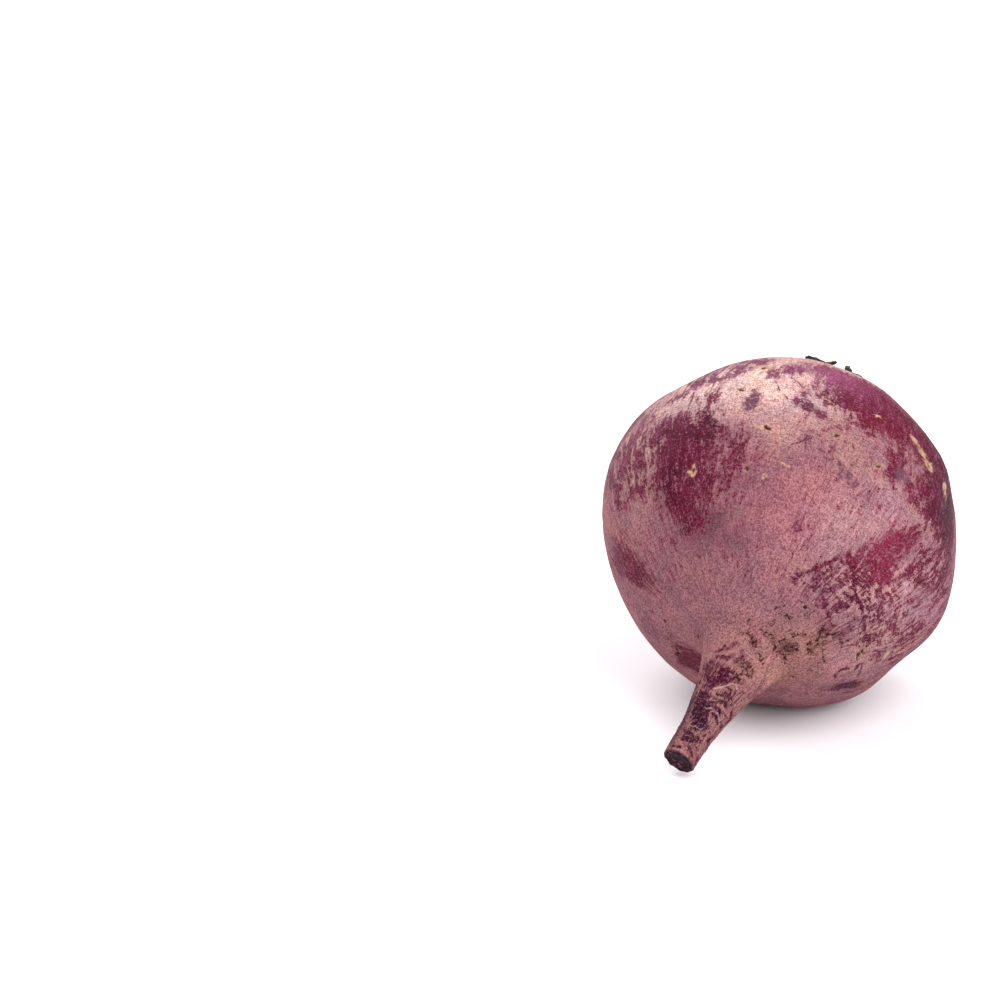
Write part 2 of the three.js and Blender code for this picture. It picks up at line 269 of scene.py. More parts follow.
class Grown:  # where each vertex is on the root: along, turn, radius, way over the skin
    def __init__(self, places):
        batches = len(places) // 8000 + 1  # a few thousand vertices at a time, to spare memory
        rows = [self.find(some) for some in np.array_split(places, batches)]
        self.along, self.turn, self.radius = np.vstack(rows).T
        self.walked = np.interp(self.along, Axis.along, Axis.walked)
        self.around = np.radians(self.turn)
        self.wide = np.maximum(self.radius, growth["leastRadius"])

    def find(self, places):  # by the point of the axis that lies level with it and whose radius fits best
        off = places[:, None, :] - Axis.points[None]
        ahead = np.einsum("vas,as->va", off, Axis.toTail)
        radius = np.sqrt(np.clip((off ** 2).sum(2) - ahead ** 2, 0, None))
        best = np.argmin(4 * ahead ** 2 + (radius - Axis.radius) ** 2, 1)
        rows = np.arange(len(places))
        reach = off[rows, best]
        turn = np.degrees(np.arctan2((reach * Axis.side[best]).sum(1), (reach * Axis.up[best]).sum(1)))
        return np.stack([Axis.along[best] + ahead[rows, best], turn % 360, radius[rows, best]], 1)

    def shaken(self, size, amount):  # a copy that gives marks uneven outlines; mm
        other = copy.copy(self)
        places = self.straight()
        other.walked = self.walked + amount * noiseAt(places, size, 5.1)
        other.turn = self.turn + np.degrees(amount * noiseAt(places, size, 9.4) / self.wide)
        return other

    def straight(self):  # mm, as if the root were straight
        return onTube(self.radius, self.around, self.along)

    def meridian(self):  # mm, on a tube as wide as the girth; its length runs from crown to tail
        return onTube(growth["bodyRadius"], self.around, self.walked)

    def mark(self, along, turn, length, width, slant=0):
        # 1 in the middle of an oval and 0 well outside it; unslanted, its length runs from crown to tail
        tailward = self.walked - np.interp(along, Axis.along, Axis.walked)
        across = np.radians(fromTurn(turn, self.turn)) * self.wide
        c, s = np.cos(radians(slant)), np.sin(radians(slant))
        lengthways = (c * tailward + s * across) / length
        widthways = (c * across - s * tailward) / width
        return np.exp(-lengthways ** 2 - widthways ** 2)

    def spots(self, several):  # the same for several marks at once, each with how strong it is at its end
        return np.max([amount * self.mark(*spot) for *spot, amount in several], 0)

    def unrolled(self, route, middle):
        # the route's points, each an along and a turn, and every vertex, on the skin laid flat there; mm
        along, turn = np.array(route, float).T
        walked = np.interp(along, Axis.along, Axis.walked)
        across = np.radians(fromTurn(middle, turn)) * np.interp(along, Axis.along, Axis.radius)
        mine = np.radians(fromTurn(middle, self.turn)) * self.wide
        return np.stack([walked, across], 1), np.stack([self.walked, mine], 1)

    def drawn(self, route, width):
        # 1 on a line through the route's points and 0 well away from it
        corners, mine = self.unrolled(route, route[0][1])
        reach = 2.5 * width
        inside = (mine > corners.min(0) - reach) & (mine < corners.max(0) + reach)
        near = np.flatnonzero(inside.all(1))
        line = np.zeros(len(mine))
        line[near] = bell(toLine(corners, mine[near]), width)
        return line

    def within(self, outline):
        # mm to the edge of the area that the outline's points enclose; below 0 outside it
        turns = np.radians([turn for _, turn in outline])
        corners, mine = self.unrolled(outline, np.degrees(np.angle(np.exp(1j * turns).mean())))
        corners = np.vstack([corners, corners[:1]])
        inside = np.zeros(len(mine), bool)
        for start, end in zip(corners[:-1], corners[1:]):
            step = end - start
            level = (mine[:, 1] - start[1]) / (step[1] or 1e-9)
            passed = (start[1] > mine[:, 1]) != (end[1] > mine[:, 1])
            inside ^= passed & (mine[:, 0] < start[0] + level * step[0])
        closest = toLine(corners, mine)
        return np.where(inside, closest, -closest)


# skin of the root

skin = {  # mm and degrees; pairs are from where to where along the axis
    "voxel": 1.0,  # the mesh is halved where the relief is finer, and once more on the tail
    "body": ((-34, -28), (26, 33)),  # smoothed most
    "halved": (-31, 26),  # up to here and from here
    "quartered": 36.5,
    "cracked": (31, 20, 112),  # halved twice already from here on, between these turns
    "besideMarks": (3.2, 2.2),  # halved that near to a small mark, and again
    "middle": ((-32, -27), (24, 28)),  # coarse enough to need no smoothing after that
    "tip": (57, 59),  # from here on the sharp edge of the cut is kept
    "colours": {"corkTone": "a67e86", "bareTone": "6c1834"},
    "unevenness": [(9, 0.16), (3.5, 0.07)],  # size, height
    "neck": ((16, 31), (40, 48)),
    "foldHeight": 0.22,  # folds that run from the neck up into the body
    "foldRadius": 6.5, "foldLength": 14,  # more or longer folds when larger
    "tail": (38, 44), "hatchedTail": (42, 46),
    "ridge": (2.4, 1.0),  # the waves across the tail: width, length
    "ridgeHeight": 0.22, "edgeWidth": 0.17, "bareDip": 0.16,
    "farSide": (40, 95, 125),  # starts and is full that far from the first turn
    "farEdges": (40.5, 45),
    "wrinklePitch": 0.85, "wrinkleHeight": 0.1,
    "wrinkledSpot": (42.2, 46, 2.6, 5.5),  # along, turn, length, width
    "crown": (-30, -37),
    "ringPitch": 1.15, "ringHeight": 0.3, "ringRadius": 1.6,  # rings are broken more often when larger
    "pitSize": (0.8, 0.85), "pitDepth": 0.6, "haloHeight": 0.1,
    "crackWidth": 0.2, "crackDepth": 0.28,
    "creaseWidth": 0.6, "creaseDepth": 0.55,
    "crackLength": (0.5, 2.2), "crackStep": 0.45,  # of the cracks on the far side
    "shakenScars": (1.1, 0.8), "shakenCracks": (0.8, 0.55), "shakenEdges": (0.9, 0.4),  # size, amount
    "unworn": -2.5,  # what wornOff gives where the cork is whole
    "cutAt": 64.6, "cutFacing": (-0.30, -0.80, -0.52),  # the slanting cut across the tail
    "cutFrom": 60, "cutRim": (-1.6, -0.4), "cutFace": (-0.55, -0.15),  # rim and face: before the cut
    "cutHollow": 0.3, "cutGrain": 0.06,
}
atWidth = 0.37  # what a mark comes to at its own width from the middle

# bare, where the corky layer has worn off the dark skin, two areas also darkened as painted shade: how
# wide its ragged edge is, how sure, and the outline, each point as along and turn; where how sure is below
# 0, it is worn off only in places
bareAndShadedAreas = [
    (2.8, 1.6, [(-23, 6), (-27, 12), (-26, 30), (-25.5, 52), (-22, 75), (-12, 83), (5, 88), (8.5, 75),
                (7, 62), (4.5, 54), (0.5, 54), (-4, 58), (-8, 50), (-2, 46), (-7, 40), (-2, 30),
                (-6.5, 28), (-7, 19), (-12.5, 20), (-10, 15), (-18.5, 16)]),  # right shoulder
    (1.4, 0.75, [(-0.5, 42), (-3, 45), (-1, 48), (5, 48), (7, 46), (5.5, 42)]),
    (1.5, 0.5, [(4, 50), (4, 53), (8, 63), (7.5, 54)]),
    (2.8, 1.7, [(4.5, 345), (0, 340), (3, 338), (1, 333), (0, 321), (7, 318), (9.5, 322), (15, 319),
                (22, 322), (27, 338), (25, 342), (21.5, 341), (19, 350), (17, 346), (7.5, 346)]),  # left
    (2, 0.15, [(4.5, 345), (6.5, 352), (10, 355), (14, 354), (20, 352), (14.5, 348)]),
    (2.5, -0.5, [(-16, 322), (-10, 340), (-1, 344), (3, 335), (2, 318), (-4, 312), (-12, 310)]),
    (2.5, 0.15, [(-8, 310), (-3, 316), (4, 319), (16, 318), (16, 300), (6, 293), (-4, 296)]),
    (2, 0.6, [(8.5, 65), (13.5, 57), (18, 53), (25.5, 45), (27, 52), (25.5, 64), (21.5, 67), (18, 63)]),
    (2, 0.3, [(13, 68), (4.5, 79), (5, 86), (8, 92), (6, 99), (11, 95), (15, 86), (19.5, 71)]),
    (2, -0.45, [(30.5, 33), (25.5, 46), (27, 68), (27.5, 92), (32.5, 70), (31.5, 52)]),  # hatched
    (3, -0.5, [(26, 60), (27, 100), (20, 120), (14, 116), (4, 104), (2, 90), (14, 70)]),
    (4, -1.1, [(5, 20), (4, 50), (12, 62), (30, 58), (32, 36)]),
    (4, -1.1, [(12, 356), (14, 320), (24, 310), (32, 330), (30, 352), (22, 358)]),
    (0.7, 1.3, [(30.5, 135), (30.5, 127), (28.5, 125), (25.5, 127), (25, 134)]),
    (1.5, 0.4, [(-10.5, 331), (-15, 324), (-21, 330), (-24.5, 346), (-25, 357), (-19.5, 356),
                (-17.5, 351), (-11.5, 342)]),
    (1.2, 0.6, [(-15.5, 355), (-23, 6), (-20, 10), (-13, 359)]),
    (1, 0.5, [(-6.5, 339), (-6, 343), (-1, 343), (-1.5, 340)]),
    (0.5, 2.1, [(43.6, 0), (43.4, 28), (43.5, 39), (44.3, 33), (44.9, 47), (46.8, 35), (49.2, 1),
                (48.4, 351), (46.7, 11), (44.6, 9)]),  # on the tail
    (0.8, 0.3, [(44.5, 330), (43.4, 355), (44.6, 9), (46.7, 11), (49, 340), (46.2, 330)]),
    (0.5, 2.1, [(49.5, 345), (49.2, 13), (49.6, 34), (50.6, 19), (51.3, 38), (52.2, 39), (54.2, 48),
                (55.4, 70), (57.2, 48), (57.6, 29), (56.4, 8), (53.5, 350)]),
    (0.6, 0.7, [(58.1, 0), (57.7, 31), (58.7, 66), (59.9, 39), (59.9, 0)]),
    # the tail's left side: partly worn bare, and partly darkened there as painted shade
    (1.5, 0.6, [(47, 300), (47, 345), (56, 350), (62, 350), (62, 310), (54, 290)]),
    (1.5, -0.9, [(44, 5), (44, 110), (63, 110), (63, 5)]),
    (1.5, 0.5, [(46, 180), (50, 215), (58, 230), (62, 200), (56, 165)]),
    # worn bare low down behind the tail, and darker there as painted shade too
    (1.2, 1, [(34, 215), (31, 235), (34, 255), (38, 235)]),  # behind the tail
    (3.5, 1.2, [(-24, 180), (-8, 170), (4, 190), (6, 215), (-6, 232), (-20, 220)]),  # on the far side
    (3, 1, [(-4, 240), (8, 232), (18, 250), (12, 268), (0, 262)]),
    (3, 0.9, [(-30, 110), (-20, 104), (-12, 120), (-18, 136), (-28, 130)]),
    (3, 0.8, [(8, 150), (16, 160), (22, 182), (10, 178)]),
    (3, 0.7, [(-28, 262), (-18, 258), (-12, 278), (-22, 284)]),
    (3, 0.6, [(18, 275), (26, 280), (30, 298), (20, 294)]),
]

# bare streaks: width, how sure, and the points that each runs through
bareStreaks = [
    (0.75, 0.9, [(25, 44), (26.5, 41), (28, 38), (29.5, 34), (30.5, 31)]),
    (0.6, 0.7, [(24, 41), (25.5, 42), (27.5, 37)]),
    (0.7, 0.85, [(30.5, 46), (31, 51), (31.5, 57), (32, 65), (32, 70)]),
    (0.6, 0.85, [(30, 60), (30, 66), (30.5, 77)]),
    (0.75, 1, [(27, 56), (28, 62), (28, 68), (28.5, 76), (28.5, 86), (27.5, 92)]),
    (0.7, 0.85, [(30.5, 46), (29.5, 51), (28.5, 53)]), (1, 0.9, [(30.5, 60), (29.5, 64)]),
    (0.5, 0.75, [(27.5, 71), (24.5, 74)]), (0.5, 0.8, [(27.5, 77), (24, 82), (21, 84)]),
    (0.5, 0.7, [(30.5, 84), (29, 85)]), (0.6, 0.7, [(23.5, 82), (23, 92), (23, 101)]),
    (0.6, 0.8, [(19, 90), (18.5, 98), (18.5, 107), (18.5, 114)]), (1.1, 0.9, [(23, 97), (23, 99)]),
    (1, 0.8, [(21, 89), (20, 92)]), (1.3, 0.8, [(14.5, 97), (16, 100), (17, 103)]),
    (0.6, 0.9, [(29, 109), (29.5, 114)]), (0.7, 0.9, [(27, 138), (22, 136), (17, 132)]),
    (0.5, 0.8, [(20, 124), (16, 121), (13, 117)]), (0.35, 0.9, [(11, 42), (9, 46), (7, 47)]),
    (0.4, 0.8, [(10, 10), (8.5, 13), (6.5, 15)]), (0.35, 0.8, [(10, 15), (8, 14), (6.5, 16)]),
    (0.5, 0.6, [(0.5, 23), (3, 27), (5, 30)]), (0.5, 0.6, [(-1, 20), (1.5, 24)]),
    (0.35, 0.9, [(11, 44), (9.3, 45.7), (7.8, 48)]), (0.3, 0.8, [(11.2, 41.6), (12.1, 43)]),
    (0.3, 0.8, [(14, 45), (15, 47)]), (0.3, 0.8, [(10, 26), (11.2, 28.5), (12.5, 28)]),
    (0.3, 0.8, [(12, 31), (13.5, 31.5), (14, 34)]), (2.8, 1.1, [(-4.6, 10.5), (-3, 14)]),
    (2.1, 1, [(-2.5, 16), (-1.5, 18)]), (0.35, 1, [(-6.8, 4.4), (-5.1, 6), (-4.3, 9)]),
    (0.3, 0.9, [(-15.5, 5), (-14.3, 7.3), (-12.4, 9.3)]),
    (0.3, 0.9, [(-11.9, 0.7), (-8.2, 2.7), (-6, 5)]),
    (0.5, 0.8, [(31.5, 121), (32, 115), (31.5, 112), (30.5, 111)]),
    (0.7, 0.8, [(28, 121), (28.5, 114), (28.5, 110)]),
    (0.5, 0.8, [(40.4, 359), (40.6, 7), (39.4, 10), (39.4, 18)]),
    (0.6, 0.85, [(41.7, 350), (41, 358), (40.6, 7)]), (0.6, 0.9, [(42.5, 354), (42.2, 13), (41.4, 19)]),
    (0.7, 0.8, [(39.9, 26), (40.9, 30), (41.1, 37)]),
    (0.5, 0.7, [(41.5, 90), (42.9, 102), (43.9, 102)]), (0.35, 1, [(46.6, 38), (46.5, 54), (47.3, 57)]),
    (0.85, 1.1, [(47.6, 50), (48, 63)]), (0.7, 1.1, [(49.5, 49), (49.2, 62), (49.8, 69)]),
    (0.6, 1.1, [(51, 48), (51.1, 60), (51.7, 68)]), (0.5, 1.1, [(52.5, 53), (52.6, 66), (53.1, 71)]),
    (0.35, 1, [(53.3, 77), (53.8, 84)]),
    (0.45, 1.1, [(49.8, 93), (50.7, 105), (51.1, 115), (52.5, 110)]),
    (0.5, 1.1, [(53.4, 99), (54.1, 109)]),
    (0.5, 1.1, [(56.7, 97), (57.7, 91), (58.1, 111), (59.4, 108)]), (0.4, 1, [(58, 47), (58.6, 61)]),
    (0.45, 1, [(60.4, 0), (60.3, 20), (59.8, 46)]), (0.45, 1, [(62.6, 350), (62, 21)]),
    (0.4, 1, [(61, 42), (61.7, 60), (62.3, 71)]), (0.8, 1.1, [(62, 101), (63, 112)]),
    (0.5, 0.9, [(48.7, 34), (48.3, 46)]), (0.5, 0.9, [(50.5, 35), (50, 45)]),
]

# tones of the cork and of the bare skin, with a painted highlight over the top of the root laid in among
# them: colour, how much, along, turn, length, width
corkTonesAndHighlight = [
    ("a67888", 1, 12, 352, 12, 10), ("b8949e", 1, 10, 46, 12, 9), ("bc8690", 1, 20, 16, 12, 11),
    ("b8948c", 0.8, 8, 29, 5, 6), ("946c78", 0.8, 13, 7, 6, 6), ("9c6c78", 0.6, 21, 10, 4, 6),
    ("8f6872", 0.9, 26, 345, 7, 9), ("ccacb4", 1, 20, 84, 14, 16), ("d4b0ae", 0.9, 21.5, 40, 6, 7),
    ("ceaab0", 0.9, 26, 56, 7, 10), ("bc9c9c", 0.8, 29, 41, 3, 5), ("ab8b82", 0.9, 34, 78, 5, 9),
    ("c4a492", 0.9, 38.6, 100, 3, 4.5), ("a57e7a", 0.9, 36, 120, 8, 16), ("a8847c", 1, 56, 60, 14, 30),
    ("be988e", 0.9, 50, 94, 8, 12), ("c4a29c", 0.9, 6, 8, 6, 9), ("bc9c98", 0.9, 29, 100, 6, 9),
    # the near-white creams over the top are partly the crown's paler cork and partly a painted highlight
    # where the top catches the light
    ("dcc8c6", 1, -6, 6, 7, 11), ("fbe8de", 1, -17, 350, 13, 20), ("faeae0", 1, -7, 333, 10, 13),
    ("ccb0ac", 1, 6, 310, 11, 10), ("f2ded4", 1, -31, 20, 6, 34), ("a98a80", 1, -38, 180, 8, 60),
    ("b08a86", 0.8, -20, 200, 14, 60),
]
bareTonesAndHighlight = [
    ("821e3a", 0.9, -6, 40, 10, 9), ("96304c", 1, 19, 57, 9, 8), ("641e36", 0.9, 8, 330, 12, 9),
    # the light mauves near the top are partly the bare skin's own colour and partly a painted highlight
    # where the top catches the light
    ("ae6088", 1, -22, 12, 7, 14), ("925e7c", 1, -16, 345, 9, 14), ("86566e", 0.9, -3, 312, 9, 12),
    ("46102a", 1, -4, 76, 14, 9), ("4e1c34", 0.9, 29, 70, 6, 12), ("4a1c34", 0.9, 28, 130, 5, 8),
    ("40202c", 0.8, 5, 343.5, 5, 2.5), ("3a1a2e", 1, 55, 40, 12, 30), ("74465a", 0.8, -3.7, 13, 4, 4),
]

# where cuts run across the streaks: along, turn, length, width, how much
hatchedPlaces = [(26, 72, 10, 18, 1), (0, 34, 7, 16, 0.7)]

# pores that scarred over: along, turn, length and width of the tan halo, slant, how deep the dark pit is
scars = [
    (-18.3, 354.7, 2, 2.4, 10, 1), (-7.2, 350.1, 0.8, 1.1, 0, 1), (-8.9, 17.8, 0.9, 1.1, 0, 1),
    (6.2, 359, 0.7, 2, 0, 0), (6.2, 1.4, 0.6, 0.7, 0, 1), (3.4, 23.2, 0.9, 1.1, 0, 1),
    (5.7, 38.7, 0.8, 0.8, 0, 0.7), (-8, 59, 1.7, 2.1, 30, 0.6), (-10.2, 56, 1.6, 1.7, 35, 0),
    (-12.6, 52.5, 1.6, 1.3, 35, 0), (-7.7, 71.1, 2.6, 1.2, 10, 0.6), (16.2, 337.1, 1.6, 0.8, -20, 0.8),
    (16.1, 356.8, 0.7, 0.6, 0, 0.8), (14.7, 9.8, 0.35, 1.5, 0, 0), (17.3, 3.6, 0.5, 0.6, 0, 0.2),
    (29, 102.5, 1.2, 1, 20, 0.9), (24, 108.5, 0.6, 1.6, -30, 0), (-12.1, 36, 0.5, 1.2, 0, 0),
    (-15, 130, 1, 1.8, 0, 0.9), (2, 170, 1, 1.4, 0, 0.8), (-5, 225, 1.1, 1.8, 15, 1),
    (-22, 205, 1, 2.2, -10, 0.7), (12, 262, 1, 1.3, 0, 0.9), (-14, 285, 1, 1.6, 0, 0.8),
    (8, 290, 0.8, 1.2, 0, 1), (-26, 85, 1, 1.8, 0, 0.6), (10, 120, 0.9, 1.2, 0, 0.8),
]

# soft bruises, the last four on the far side: along, turn, length, width, how much
bruises = [
    (-7, 354.6, 1.6, 0.9, 0.8), (-5, 355.8, 2.4, 1, 1.4), (-1.5, 355, 2.8, 1.6, 1.3),
    (-7.2, 341, 1, 1, 0.7), (12.2, 29.7, 1.4, 2, 0.8), (10.7, 27, 0.9, 0.8, 0.8),
    (13, 33, 1.4, 1.4, 0.6), (3.5, 47.5, 3, 2, 0.8), (0, 210, 2.5, 3, 0.8), (-12, 300, 2, 3, 0.8),
    (20, 190, 3, 2, 0.8), (-18, 240, 2, 2, 0.8),
]

# cracks across the neck: width, and the points that each runs through
neckCracks = [
    (0.39, [(36.3, 14), (36.7, 20)]), (0.39, [(37.6, 14), (37.5, 22), (38.4, 40)]),
    (0.65, [(38, 31), (38.3, 37)]), (0.33, [(36.4, 30), (36.6, 39)]),
    (0.42, [(36.6, 37), (36.4, 45), (37.4, 62), (36.7, 90)]),
    (0.45, [(36.4, 56), (35.8, 60), (36.4, 74)]), (0.52, [(36, 62), (36.1, 69), (36.6, 78)]),
    (0.45, [(35.6, 67), (36, 79)]), (0.29, [(35.1, 53), (35.5, 60), (34.8, 60)]),
    (0.29, [(34.3, 60), (34.8, 68)]), (0.52, [(34.5, 72), (34.9, 82), (34.2, 88)]),
    (0.52, [(34.1, 82), (33.7, 73), (32.8, 67)]), (0.52, [(33.6, 72), (32.4, 75), (31.6, 78)]),
    (0.36, [(33.4, 87), (33.2, 101)]), (0.39, [(31.6, 82), (31.2, 91)]),
    (0.39, [(30.8, 85), (30.6, 88)]), (0.33, [(39.2, 49), (39.9, 68)]),
    (0.45, [(41, 38), (41.6, 57), (42.6, 65), (43.3, 50)]), (0.36, [(41.9, 25), (42.6, 45)]),
    (0.33, [(41.4, 29), (42, 50)]), (0.39, [(43.9, 33), (44.5, 58)]), (0.33, [(43.5, 38), (44.1, 56)]),
    (0.33, [(32.6, 45), (33.4, 54)]), (0.26, [(32.4, 36), (32.6, 43)]),
    (0.36, [(34.5, 36), (34.3, 44)]), (0.36, [(35.4, 35), (35.6, 38)]),
    (0.29, [(34.3, 31), (33.5, 35)]), (0.29, [(33.7, 11), (33.9, 14)]),
    (0.39, [(29.3, 106), (28.4, 100)]),
]
# soft dark stains round the cracks, and one at a scar: along, turn, length, width, how much
stains = [
    (36.3, 66, 1.5, 2, 1.3), (33.6, 76, 1.3, 2.2, 1.2), (34.6, 83, 1, 1.2, 1),
    (32.3, 77, 0.9, 1.8, 0.8), (38.2, 34, 0.8, 1.4, 0.8), (36.6, 46, 0.8, 2, 0.5),
    (42.2, 52, 1.3, 1.8, 0.6), (28.7, 101, 1.4, 0.9, 0.6), (35.2, 58, 0.9, 1, 0.5),
    (37.4, 18, 0.8, 1.4, 0.4), (48.8, 44, 1, 1.2, 0.7), (50.3, 40, 0.8, 1, 0.5),
    (-18.2, 354.6, 1.4, 1.8, 0.6),
]

# clusters of cracks on the far side: along, turn, half length, half width, how many
crackClusters = [(35, 200, 1.5, 8, 10), (37, 290, 1.5, 5, 8), (33, 250, 1, 8, 6), (38, 150, 1, 4, 6)]
# the fold between the tail and the lobe beside it: carved in, and darkened along its bottom as painted
# shade
creaseWithPaintedShade = [(36.4, 68), (38.5, 75), (39.5, 79), (40.4, 90), (41.3, 101), (42.6, 112), (43.8, 128)]

# pale torn edges of cork across the tail: height, and the points that each runs through
tornEdges = [
    (1, [(47.9, 26), (47, 36), (45.9, 42), (45.5, 46), (45.5, 56), (45.6, 64)]),
    (0.7, [(52.2, 24), (52.2, 35), (51.5, 39)]), (0.5, [(50.5, 21), (50.1, 35), (49.3, 48)]),
    (0.6, [(52.2, 44), (51.8, 56), (52.3, 71), (53.3, 87)]),
    (0.6, [(56.9, 13), (56.6, 35), (56.3, 52)]), (0.7, [(57.8, 28), (58, 47)]),
    (0.6, [(44.3, 33), (43.7, 42), (43.9, 52)]), (0.4, [(53.4, 45), (54.7, 59)]),
    (0.6, [(48.7, 23), (49, 36), (48.9, 51)]), (0.5, [(59.6, 14), (58.8, 29)]),
    (0.5, [(62.8, 12), (62.3, 39), (62.7, 59)]), (0.4, [(50.7, 48), (50.3, 60), (50.6, 70)]),
    (0.4, [(55.6, 30), (55.2, 44)]), (0.4, [(60.9, 20), (60.6, 44)]),
    (0.4, [(46.9, 62), (48.6, 68), (50.6, 75)]),
]


def refine(piece, chosen):  # halves the quads that any chosen vertex belongs to
    makeActive(piece)
    corners = np.empty(len(piece.data.loops), np.int32)
    piece.data.loops.foreach_get("vertex_index", corners)
    firsts = np.empty(len(piece.data.polygons), np.int32)
    piece.data.polygons.foreach_get("loop_start", firsts)
    bpy.context.tool_settings.mesh_select_mode = (False, False, True)
    for parts in (piece.data.vertices, piece.data.edges):
        parts.foreach_set("select", np.zeros(len(parts), bool))
    piece.data.polygons.foreach_set("select", chosen[corners[firsts]])
    bpy.ops.object.mode_set(mode="EDIT")
    bpy.ops.mesh.subdivide(number_cuts=1, smoothness=0, ngon=False)
    bpy.ops.object.mode_set(mode="OBJECT")


def besideSmallMarks(grown, reach):  # whether each vertex is that near to a scar or a fine streak
    near = np.zeros(len(grown.along), bool)
    for along, turn, *_ in scars:
        near |= grown.mark(along, turn, reach, reach) > atWidth
    for width, _, route in bareStreaks:
        if width < 0.5:
            near |= grown.drawn(route, reach / 2) > atWidth
    return near


def skinMesh():
    piece = copyOfNode("root", "skin")
    applyModifier(piece, "REMESH", mode="VOXEL", voxel_size=skin["voxel"] * mm)
    grown = Grown(placesOf(piece))
    storeWeights(piece, "body", between(*skin["body"], grown.along))
    applyModifier(piece, "SMOOTH", factor=0.6, iterations=16, vertex_group="body")
    applyModifier(piece, "SMOOTH", factor=0.5, iterations=1)
    low, high = skin["halved"]
    refine(piece, (grown.along < low) | (grown.along > high))
    grown = Grown(placesOf(piece))
    crackedFrom, first, last = skin["cracked"]
    cracks = (grown.along > crackedFrom) & (grown.turn > first) & (grown.turn < last)
    refine(piece, cracks | (grown.along > skin["quartered"]))
    for reach in skin["besideMarks"]:
        grown = Grown(placesOf(piece))
        refine(piece, besideSmallMarks(grown, reach) & (grown.along > low) & (grown.along < high - 1))
    grown = Grown(placesOf(piece))
    storeWeights(piece, "ends", 1 - between(*skin["middle"], grown.along))
    applyModifier(piece, "SMOOTH", factor=0.5, iterations=4, vertex_group="ends")
    storeWeights(piece, "tip", smoothStep(*skin["tip"], grown.along))
    applyModifier(piece, "SHRINKWRAP", target=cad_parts["root"], vertex_group="tip")
    applyModifier(piece, "SMOOTH", factor=0.5, iterations=3, vertex_group="tip")
    return piece


def squiggle(random, along, turn, length):  # a crack that wanders on its way round the root
    route, heading, step = [(along, turn)], random.normal(0, 0.45), skin["crackStep"]
    for _ in range(max(2, int(length / step))):
        heading += random.normal(0, 0.55) - 0.25 * heading
        radius = np.interp(along, Axis.along, Axis.radius)
        along += step * np.sin(heading)
        turn += np.degrees(step * np.cos(heading) / radius)
        route.append((along, turn))
    return route


def crackedNeck(grown):
    crack, stain = np.zeros(len(grown.along)), grown.spots(stains)
    for width, route in neckCracks:
        crack = np.maximum(crack, grown.drawn(route, width))
    crack *= 0.95 + 0.8 * noiseAt(grown.straight(), 0.7, 21)  # broken here and there
    random = np.random.default_rng(7)
    for along, turn, long, wide, number in crackClusters:
        radius = np.interp(along, Axis.along, Axis.radius)
        stain = np.maximum(stain, 0.5 * grown.mark(along, turn, long + 0.5, wide + 0.3))
        for _ in range(number):
            start = along + random.normal(0, 0.7 * long)
            first = turn + np.degrees(random.normal(0, 0.7 * wide) / radius)
            route = squiggle(random, start, first, random.uniform(*skin["crackLength"]))
            crack = np.maximum(crack, random.uniform(0.5, 1.1) * grown.drawn(route, skin["crackWidth"]))
    return crack, stain


def tornEdge(grown):  # the edges drawn above, and others like them on the far side of the tail
    wide, long = skin["ridge"]
    edge = np.zeros(len(grown.along))
    middle, first, full = skin["farSide"]
    behind = smoothStep(first, full, np.abs(fromTurn(middle, grown.turn)))
    behind *= smoothStep(*skin["farEdges"], grown.along)
    chosen = np.flatnonzero(behind)
    places = grown.straight()[chosen]
    places += 0.6 * wobbleAt(places, 1.8)
    edge[chosen] = 0.7 * (1 - smoothStep(0.03, 0.12, np.abs(noiseAt(places / (wide, wide, long), 1.0))))
    edge[chosen] *= smoothStep(-0.05, 0.25, noiseAt(places, 3.0, 60)) * behind[chosen]
    for height, route in tornEdges:
        edge = np.maximum(edge, height * grown.drawn(route, skin["edgeWidth"]))
    return edge


# also above 0 in the two bare areas that stand in for painted shade
def wornOff(grown):  # above 0 where the dark skin lies bare; mm or so to the ragged edge
    bare = np.full(len(grown.along), skin["unworn"])
    for edge, sure, outline in bareAndShadedAreas:
        bare = np.maximum(bare, np.minimum(grown.within(outline) / edge, sure))
    for width, sure, route in bareStreaks:
        bare = np.maximum(bare, skin["unworn"] + (1 - skin["unworn"]) * sure * grown.drawn(route, width))
    return bare


def scarsAndBruises(grown):
    halo, pit = np.zeros(len(grown.along)), np.zeros(len(grown.along))
    for along, turn, length, width, slant, deep in scars:
        halo = np.maximum(halo, grown.mark(along, turn, length, width, slant))
        pit = np.maximum(pit, deep * grown.mark(along, turn, *skin["pitSize"], slant))
    return halo, pit, grown.spots(bruises)


def crownRings(grown, places):  # rings of old leaf scars round the crown, broken and uneven
    crown = smoothStep(*skin["crown"], grown.along + 1.6 * noiseAt(places, 5, 4.4))
    rings = np.zeros(len(places))
    near = np.flatnonzero(grown.along < skin["crown"][0] + 2)
    onRings = onTube(skin["ringRadius"], grown.around, grown.radius / skin["ringPitch"])[near]
    onRings += 0.35 * wobbleAt(places[near], 2.5)
    rings[near] = 0.5 - np.abs(noiseAt(onRings, 1.0, 8.8)) * 2.2
    return crown, rings


def pastCut(places):  # mm past the slanting cut across the tail
    onCut = [np.interp(skin["cutAt"], Axis.along, Axis.points[:, i]) for i in range(3)]
    return (places - onCut) @ np.array(skin["cutFacing"]) / np.linalg.norm(skin["cutFacing"])


